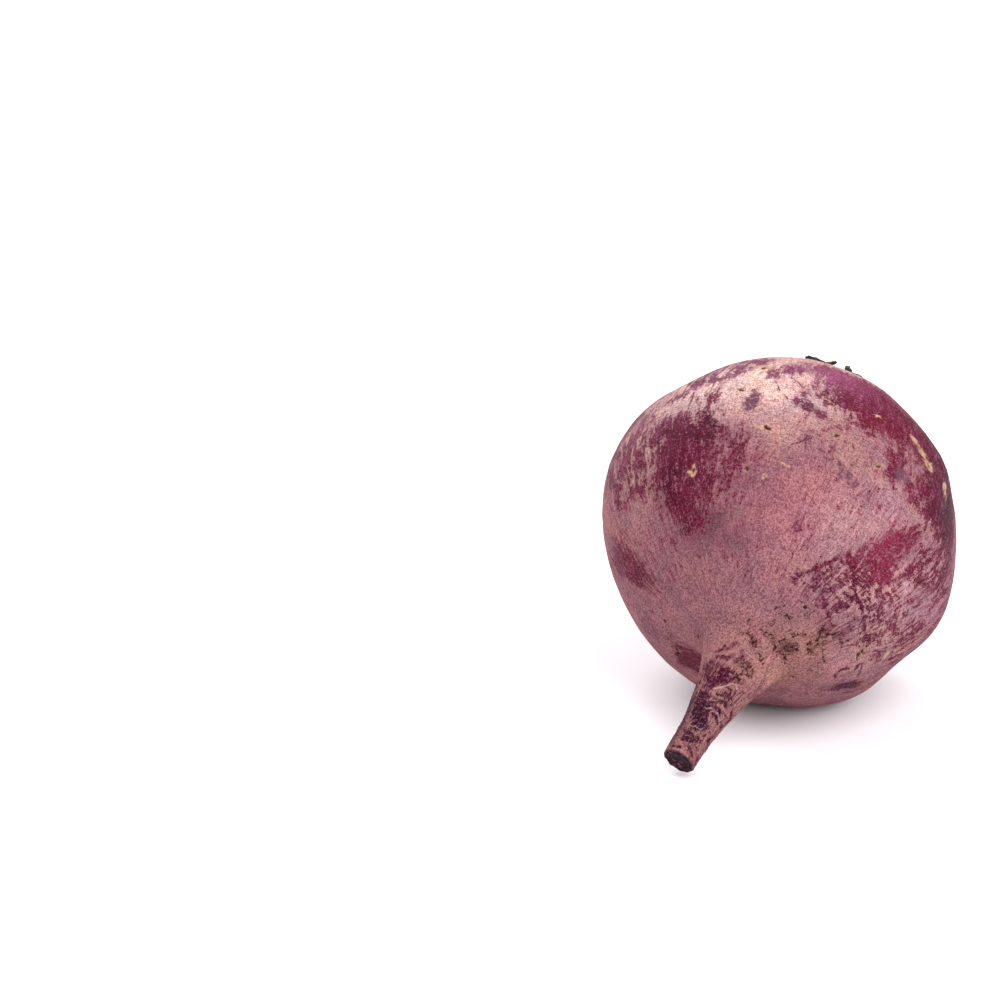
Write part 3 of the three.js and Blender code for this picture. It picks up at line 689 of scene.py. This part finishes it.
def sculptSkin(piece, grown, bare):
    # heights are in millimetres; the marks are kept as attributes for the colours
    places = placesOf(piece)
    height = np.zeros(len(places))
    for size, rise in skin["unevenness"]:
        height += rise * noiseAt(places, size, 3.3)
    folds = noiseAt(onTube(skin["foldRadius"], grown.around, grown.along / skin["foldLength"]), 1.0, 5.5)
    height += skin["foldHeight"] * between(*skin["neck"], grown.along) * folds

    halo, pit, bruise = scarsAndBruises(grown.shaken(*skin["shakenScars"]))
    height += skin["haloHeight"] * halo - skin["pitDepth"] * pit
    crack, stain = crackedNeck(grown.shaken(*skin["shakenCracks"]))
    height -= skin["crackDepth"] * crack
    height -= skin["creaseDepth"] * grown.drawn(creaseWithPaintedShade, skin["creaseWidth"])
    # the bottom of the fold gets the crack colour too, as painted shade
    crack = np.maximum(crack, 0.75 * grown.drawn(creaseWithPaintedShade, skin["creaseWidth"] / 2))

    edge = tornEdge(grown.shaken(*skin["shakenEdges"]))
    height += skin["ridgeHeight"] * edge
    onTail = smoothStep(*skin["tail"], grown.along)
    height -= skin["bareDip"] * smoothStep(-0.3, 0.4, bare) * onTail
    waves = np.sin(2 * np.pi * (grown.along + 0.35 * folds) / skin["wrinklePitch"])
    wrinkled = np.maximum(grown.mark(*skin["wrinkledSpot"]), 0.35 * onTail)
    height += skin["wrinkleHeight"] * wrinkled * waves

    crown, rings = crownRings(grown, places)
    height += skin["ringHeight"] * crown * rings

    toCut, onTip = pastCut(places), grown.along > skin["cutFrom"]
    cut = smoothStep(*skin["cutFace"], toCut) * onTip
    height *= 1 - 0.9 * smoothStep(*skin["cutRim"], toCut) * onTip
    height -= skin["cutHollow"] * cut * (1 - smoothStep(0.5, 3.2, grown.radius))
    height -= skin["cutGrain"] * cut * noiseAt(places, 0.8, 30)

    moved = places + height[:, None] * normalsOf(piece)
    moved[:, 2] = np.maximum(moved[:, 2], 0)  # nothing sinks into the floor
    movePlaces(piece, moved)
    return {"halo": halo, "pit": pit, "bruise": bruise, "crack": crack, "stain": stain, "rim": edge,
            "rings": crown * (0.5 - rings), "crown": crown, "cut": cut}


def hatchedSkin(grown):  # 1 where cuts run across the streaks
    hatched = 0.7 * smoothStep(*skin["hatchedTail"], grown.along)
    return np.maximum(hatched, grown.spots(hatchedPlaces))


def toneOf(grown, first, tones):  # the first colour, and the tones laid over it one after another
    toneWithHighlight = np.tile(hexColour(first)[:3], (len(grown.along), 1))
    for hexText, amount, along, turn, length, width in tones:
        share = amount * grown.mark(along, turn, length, width)[:, None]
        toneWithHighlight = toneWithHighlight * (1 - share) + np.array(hexColour(hexText)[:3]) * share
    return toneWithHighlight


cork = {  # sizes of the patterns in mm, as wide as real flecks, cuts and fibres
    "wander": 9, "wanderBy": 3,  # bends in the path that the streaks follow, and their reach
    "streaks": 1.25, "cuts": 0.75, "blots": 4.5, "specks": 0.8,
    "grain": 0.37,  # real grain is finer, but wouldn't show
    "longer": 0.24,  # width over length of a streak, a cut or a fibre
    "scratches": 0.45, "scratchLonger": 0.07,
    "fray": (7.5, 5.0, 4.2, 5.5),  # how much streaks, blots, specks and grain fray the worn edge
    "frayByCuts": 9.0,
    "clouds": 5, "flecks": 0.5,  # on the bare skin
    "warmth": 9, "downFibres": 0.5, "roundFibres": 0.55,
    "scribble": 0.9,  # the lines that cracks and stains are made of
    "bump": 0.1,
}
# how each mark is painted, one over another: name, colour, how soft its edge is, how torn
paintedMarks = [
    ("halo", "b08e74", 0.4, 3.0), ("stain", "523830", 0.5, 5.0), ("bruise", "643e4c", 0.45, 3.5),
    ("rim", "b08884", 0.35, 1.5), ("crown", "8e6c60", 0.5, 4.0), ("rings", "4a3029", 0.45, 4.0),
    # the crack colour also lays painted shade along the fold beside the tail
    ("crack", "381818", 0.35, 2.5), ("pit", "4a2a20", 0.25, 0.5),
]


def skinPatterns(put):  # streaks along the root and cuts across it, on a path that wanders a little
    meridian = put("Attribute", {"attribute_name": "meridian"}).outputs["Vector"]
    straight = put("Attribute", {"attribute_name": "straight"}).outputs["Vector"]
    wander = put("TexNoise", {"Vector": straight, "Scale": 1 / cork["wander"], "Detail": 2})
    wander = wander.outputs["Color"]
    wander = put("VectorMath", {"operation": "SCALE", 0: wander, "Scale": cork["wanderBy"]})
    path = put("VectorMath", {"operation": "ADD", 0: meridian, 1: wander})
    wound = put("VectorMath", {"operation": "ADD", 0: straight, 1: wander})
    long, longest = cork["longer"], cork["scratchLonger"]
    along = put("Mapping", {"Vector": path, "Scale": (1, 1, long), "Rotation": (0.5, 0.6, 0.3)})
    across = put("Mapping", {"Vector": path, "Scale": (long, long, 1), "Rotation": (0.4, 0.7, 0.2)})
    turned = put("Mapping", {"Vector": wound, "Rotation": (0.7, 0.4, 0.9)})
    scratch = put("Mapping", {"Vector": path, "Scale": (1, 1, longest), "Rotation": (0.7, 0.5, 0)})
    noises = [
        ("streaks", along, 6, 0.66), ("cuts", across, 5, 0.68), ("blots", turned, 9, 0.7),
        ("specks", turned, 3, 0.65), ("grain", straight, 3, 0.8), ("scratches", scratch, 0, 0.5),
        ("clouds", turned, 6, 0.65), ("flecks", turned, 3, 0.8), ("warmth", turned, 6, 0.62),
        ("downFibres", along, 3, 0.62), ("roundFibres", across, 3, 0.62), ("scribble", across, 3, 0.5),
    ]
    return {name: put("TexNoise", {"Vector": vector, "Scale": 1 / cork[name], "Detail": detail,
                                   "Roughness": roughness})
            for name, vector, detail, roughness in noises}


def wornThrough(put, marks, patterns):  # where the cork is gone, and where it is thin beside that
    worn = marks["bare"]
    for name, gain in zip(("streaks", "blots", "specks", "grain"), cork["fray"]):
        uneven = put("Math", {"operation": "SUBTRACT", 0: patterns[name], 1: 0.5})
        worn = put("Math", {"operation": "MULTIPLY_ADD", 0: uneven, 1: gain, 2: worn})
    uneven = put("Math", {"operation": "SUBTRACT", 0: patterns["cuts"], 1: 0.47})
    uneven = put("Math", {"operation": "MULTIPLY", 0: uneven, 1: marks["hatched"]})
    worn = put("Math", {"operation": "MULTIPLY_ADD", 0: uneven, 1: cork["frayByCuts"], 2: worn})
    thin = put("MapRange", {"Value": worn, "From Min": -0.7, "From Max": 0.0, "To Max": 0.18})
    worn = put("MapRange", {"Value": worn, "From Min": -0.05, "From Max": 0.06,
                            "interpolation_type": "SMOOTHSTEP"})
    return worn, thin


def bareSkin(put, patterns):  # darker and lighter clouds under a thin bloom
    toneWithHighlight = put("Attribute", {"attribute_name": "bareTone"}).outputs["Color"]
    shades = [(0.34, "bcb2ba"), (0.5, "e2dadc"), (0.66, "ffffff")]
    cloud = put("ValToRGB", {"Fac": patterns["clouds"], "stops": shades})
    colour = put("MixRGB", {"blend_type": "MULTIPLY", "Fac": 1, "Color1": toneWithHighlight, "Color2": cloud})
    streaks, flecks = patterns["streaks"], patterns["flecks"]
    bloom = put("Math", {"operation": "MULTIPLY_ADD", 0: streaks, 1: 0.7, 2: flecks})
    bloom = put("MapRange", {"Value": bloom, "From Min": 0.86, "From Max": 1.04, "To Max": 0.65})
    return put("MixRGB", {"Fac": bloom, "Color1": colour, "Color2": hexColour("b0728a")})


def wholeCork(put, patterns, thin):  # uneven in warmth, rosy in places, with a few fine red scratches
    toneWithHighlight = put("Attribute", {"attribute_name": "corkTone"}).outputs["Color"]
    shades = [(0.34, "d4c8ca"), (0.46, "ece0e2"), (0.56, "faeee4"), (0.68, "fff1e0")]
    warmth = put("ValToRGB", {"Fac": patterns["warmth"], "stops": shades})
    colour = put("MixRGB", {"blend_type": "MULTIPLY", "Fac": 1, "Color1": toneWithHighlight, "Color2": warmth})
    rosy = put("MapRange", {"Value": patterns["blots"], "From Min": 0.5, "From Max": 0.66, "To Max": 0.4})
    scratches = patterns["scratches"]
    scratched = put("MapRange", {"Value": scratches, "From Min": 0.75, "From Max": 0.8, "To Max": 0.6})
    for amount, over in ((thin, "84485e"), (rosy, "b07486"), (scratched, "7a2c42")):
        colour = put("MixRGB", {"Fac": amount, "Color1": colour, "Color2": hexColour(over)})
    return colour


def fineFibres(put, patterns):  # fibres both ways and a sandy grain, light on a darker ground
    fibres = 0
    for name, share in (("downFibres", 0.5), ("roundFibres", 0.5), ("grain", 1.8), ("specks", 0.5)):
        fibres = put("Math", {"operation": "MULTIPLY_ADD", 0: patterns[name], 1: share, 2: fibres})
    return put("MapRange", {"Value": fibres, "From Min": 1.43, "From Max": 1.90})


def withMarks(put, colour, marks, patterns):  # scars, cracks, stains and the rest, each with a torn edge
    scribble = put("Math", {"operation": "SUBTRACT", 0: patterns["scribble"], 1: 0.5})
    scribble = put("Math", {"operation": "ABSOLUTE", 0: scribble})
    scribble = put("MapRange", {"Value": scribble, "From Max": 0.05, "To Min": 1.6, "To Max": 0.5})
    specks, streaks = patterns["specks"], patterns["streaks"]
    ragged = put("Math", {"operation": "MULTIPLY_ADD", 0: specks, 1: 1.2, 2: streaks})
    ragged = put("Math", {"operation": "SUBTRACT", 0: ragged, 1: 1.1})
    for name, hexText, soft, torn in paintedMarks:
        mark = marks[name]
        if name in ("crack", "stain"):
            mark = put("Math", {"operation": "MULTIPLY", 0: scribble, 1: mark})
        amount = put("Math", {"operation": "MULTIPLY_ADD", 0: ragged, 1: torn, 2: 1.0})
        amount = put("Math", {"operation": "MULTIPLY", 0: amount, 1: mark})
        amount = put("MapRange", {"Value": amount, "From Min": 0.5 - soft, "From Max": 0.5 + soft,
                                  "interpolation_type": "SMOOTHSTEP"})
        colour = put("MixRGB", {"Fac": amount, "Color1": colour, "Color2": hexColour(hexText)})
    # the cut face: near black, with pale flecks painted in as glints on its wet surface
    shades = [(0.36, "14080e"), (0.52, "2a121e"), (0.62, "4a2438"), (0.7, "8a6676")]
    cut = put("ValToRGB", {"Fac": specks, "stops": shades})
    return put("MixRGB", {"Fac": marks["cut"], "Color1": colour, "Color2": cut})


def corkySkin(markNames):
    # beetroot periderm: a matt corky layer, worn in ragged streaks down to a smoother dark red skin
    material, tree = newMaterial("corky beetroot skin")
    put = partial(addNode, tree)
    marks = {name: put("Attribute", {"attribute_name": name}).outputs["Fac"] for name in markNames}
    patterns = skinPatterns(put)
    worn, thin = wornThrough(put, marks, patterns)
    whole, bare = wholeCork(put, patterns, thin), bareSkin(put, patterns)
    colour = put("MixRGB", {"Fac": worn, "Color1": whole, "Color2": bare})
    fibres = fineFibres(put, patterns)
    shades = [(0.0, "a69096"), (0.35, "cebfc4"), (0.65, "ebe2e5"), (1.0, "ffffff")]
    light = put("ValToRGB", {"Fac": fibres, "stops": shades})
    colour = put("MixRGB", {"blend_type": "MULTIPLY", "Fac": 1, "Color1": colour, "Color2": light})
    colour = withMarks(put, colour, marks, patterns)
    rough = put("MapRange", {"Value": worn, "To Min": 0.85, "To Max": 0.55})
    rough = put("MixRGB", {"Fac": marks["cut"], "Color1": rough, "Color2": (0.45, 0.45, 0.45, 1)})
    height = put("Math", {"operation": "SUBTRACT", 0: fibres, 1: worn})
    bump = put("Bump", {"Height": height, "Strength": 0.6, "Distance": cork["bump"] * mm})
    shader = put("BsdfPrincipled", {"Base Color": colour, "Roughness": rough, "Normal": bump,
                                    "Specular IOR Level": 0.03})
    put("OutputMaterial", {"Surface": shader})
    return material


def makeSkin():
    piece = skinMesh()
    grown = Grown(placesOf(piece))
    bare = wornOff(grown)
    marks = sculptSkin(piece, grown, bare)
    marks.update(bare=bare, hatched=hatchedSkin(grown))
    for name, values in marks.items():
        storeAttribute(piece, name, values)
    # the tones include the painted highlight over the top of the root
    for name, tones in (("corkTone", corkTonesAndHighlight), ("bareTone", bareTonesAndHighlight)):
        storeAttribute(piece, name, toneOf(grown, skin["colours"][name], tones))
    storeAttribute(piece, "meridian", grown.meridian())
    storeAttribute(piece, "straight", grown.straight())
    piece.data.materials.append(corkySkin(marks))
    makeActive(piece)
    bpy.ops.object.shade_smooth()
    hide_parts("root")
    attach(piece, "root")
    print("skin:", trianglesOf(piece), "triangles")


makeSkin()


# dried leaf bases on the crown

leafBases = {  # mm
    "voxel": 0.24,
    "swell": 0.24,  # evens out what the smoothing takes from thin edges
    "shrivel": [(2.2, 0.18), (0.8, 0.12)],  # size, height
    "fibrePitch": 0.55, "fibreHeight": 0.13, "fibreRadius": 5,
    "strands": 14,  # loose dry fibres
    "strandWidth": 0.07, "strandLength": (1.5, 3.6), "strandFrom": (3.5, 7.5), "strandSteps": 9,
    "threads": 0.35, "patches": 2.2, "bump": 0.12,  # in the material
}
goldenTurn = 137.5  # degrees from one leaf to the next


def strandPlaces(random, start, heading, length):
    places, place, steps = [start], start, leafBases["strandSteps"]
    for _ in range(steps):
        heading = heading + random.normal(0, 0.16, 3)
        heading = heading / np.linalg.norm(heading)
        place = place + heading * length / steps
        places.append(place)
    return places


def looseStrands(random, crown, away):
    strands = []
    for number in range(leafBases["strands"]):
        turn = radians(goldenTurn * number + 20)
        out = Axis.up[0] * np.cos(turn) + Axis.side[0] * np.sin(turn)
        start = crown + out * random.uniform(*leafBases["strandFrom"]) + away * random.uniform(0.2, 0.8)
        heading = away * random.uniform(0.5, 1.2) + out * random.uniform(0.2, 1.0)
        length = random.uniform(*leafBases["strandLength"])
        strands.append(strandPlaces(random, start, heading / np.linalg.norm(heading), length))
    curve = bpy.data.curves.new("strands", "CURVE")
    curve.dimensions = "3D"
    curve.bevel_depth = leafBases["strandWidth"] * mm
    curve.bevel_resolution = 1
    for places in strands:
        spline = curve.splines.new("POLY")
        spline.points.add(len(places) - 1)
        for number, (point, place) in enumerate(zip(spline.points, places)):
            point.co = (*(place * mm), 1)
            point.radius = 1 - 0.7 * number / len(places)
    strand = bpy.data.objects.new("strands", curve)
    bpy.context.scene.collection.objects.link(strand)
    makeActive(strand)
    bpy.ops.object.convert(target="MESH")
    return bpy.context.object


def driedStalk():
    # dead beet leaf stalk: brown to black, shrunken to fibres, matt, paler and tan where it is torn
    material, tree = newMaterial("dried leaf stalk")
    put = partial(addNode, tree)
    fibre = put("Attribute", {"attribute_name": "fibre"}).outputs["Vector"]
    rise = put("Attribute", {"attribute_name": "rise"}).outputs["Fac"]
    ridge = put("Attribute", {"attribute_name": "ridge"}).outputs["Fac"]
    place = put("TexCoord", {}).outputs["Object"]
    threads, patches = 1 / leafBases["threads"], 1 / (leafBases["patches"] * mm)
    threads = put("TexNoise", {"Vector": fibre, "Scale": threads, "Detail": 5, "Roughness": 0.7})
    patches = put("TexNoise", {"Vector": place, "Scale": patches, "Detail": 5, "Roughness": 0.6})
    shade = threads
    for value, share in ((patches, 1), (ridge, 0.25), (rise, -0.22)):
        shade = put("Math", {"operation": "MULTIPLY_ADD", 0: value, 1: share, 2: shade})
    shades = [(0.62, "140d0c"), (0.8, "2c1f1a"), (0.97, "40302a"), (1.04, "5c4a3c")]
    colour = put("ValToRGB", {"Fac": shade, "stops": shades})
    height = put("Math", {"operation": "ADD", 0: threads, 1: ridge})
    bump = put("Bump", {"Height": height, "Strength": 0.7, "Distance": leafBases["bump"] * mm})
    shader = put("BsdfPrincipled", {"Base Color": colour, "Roughness": 0.85, "Normal": bump,
                                    "Specular IOR Level": 0.3})
    put("OutputMaterial", {"Surface": shader})
    return material


def makeLeafBases():
    piece = copyOfNode("leaf_stubs", "leaf_bases")
    applyModifier(piece, "REMESH", mode="VOXEL", voxel_size=leafBases["voxel"] * mm)
    applyModifier(piece, "SMOOTH", factor=0.5, iterations=1)
    crown, away = Axis.points[1], -Axis.toTail[0]
    places = placesOf(piece)
    off = places - crown
    up, side, rise = off @ Axis.up[0], off @ Axis.side[0], off @ away
    radius = np.hypot(up, side)
    fibre = onTube(leafBases["fibreRadius"], np.arctan2(side, up), 0.12 * (radius + rise))
    fibre[:, :2] += 0.15 * np.stack([up, side], 1)
    ridge = noiseAt(fibre, leafBases["fibrePitch"], 2.2)
    height = leafBases["swell"] + leafBases["fibreHeight"] * ridge
    for size, depth in leafBases["shrivel"]:
        height += depth * noiseAt(places, size, 1.7)
    movePlaces(piece, places + height[:, None] * normalsOf(piece))
    strands = looseStrands(np.random.default_rng(11), crown, away)
    makeActive(piece)
    strands.select_set(True)
    bpy.ops.object.join()
    extra = len(piece.data.vertices) - len(places)  # the strands' own vertices
    storeAttribute(piece, "fibre", np.vstack([fibre, np.zeros((extra, 3))]))
    storeAttribute(piece, "rise", np.concatenate([rise / 3, np.full(extra, 0.3)]))
    storeAttribute(piece, "ridge", np.concatenate([ridge, np.zeros(extra)]))
    piece.data.materials.clear()
    piece.data.materials.append(driedStalk())
    bpy.ops.object.shade_smooth()
    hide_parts("leaf_stubs")
    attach(piece, "root")
    print("leaf bases:", trianglesOf(piece), "triangles")


makeLeafBases()


# floor and light

studio = {
    "floorSize": 6.0,  # m
    "paper": "f4f2f5",
    "skylight": 0.68,
    # wide soft lights: power, degrees across, degrees up from the floor, degrees left of the camera
    "key": (2.55, 60, 48, 125),
    "fill": (3.1, 60, 45, -50),
}


def addLight(name, power, wide, up, left):
    bpy.ops.object.light_add(type="SUN", location=(0, 0, 1))
    lamp = bpy.context.object
    lamp.name = name
    lamp.data.energy = power
    lamp.data.angle = radians(wide)
    lamp.rotation_euler = (radians(90 - up), 0, radians(view["turn"] - left))


def makeStudio():
    bpy.ops.object.select_all(action="DESELECT")
    bpy.ops.mesh.primitive_plane_add(size=studio["floorSize"], location=(0, 0, 0))
    floor = bpy.context.object
    floor.name = "floor"
    # a wide sheet of matt white paper, lit so evenly that its edge doesn't show
    material, tree = newMaterial("white paper sweep")
    shader = addNode(tree, "BsdfPrincipled", {"Base Color": hexColour(studio["paper"]), "Roughness": 0.9})
    addNode(tree, "OutputMaterial", {"Surface": shader})
    floor.data.materials.append(material)
    world = bpy.data.worlds.new("studio")
    world.use_nodes = True
    sky = world.node_tree.nodes["Background"]
    sky.inputs["Color"].default_value = (1, 1, 1, 1)
    sky.inputs["Strength"].default_value = studio["skylight"]
    bpy.context.scene.world = world
    addLight("key light", *studio["key"])
    addLight("fill light", *studio["fill"])


makeStudio()
bpy.context.scene.view_settings.view_transform = "Standard"
print("studio ready")
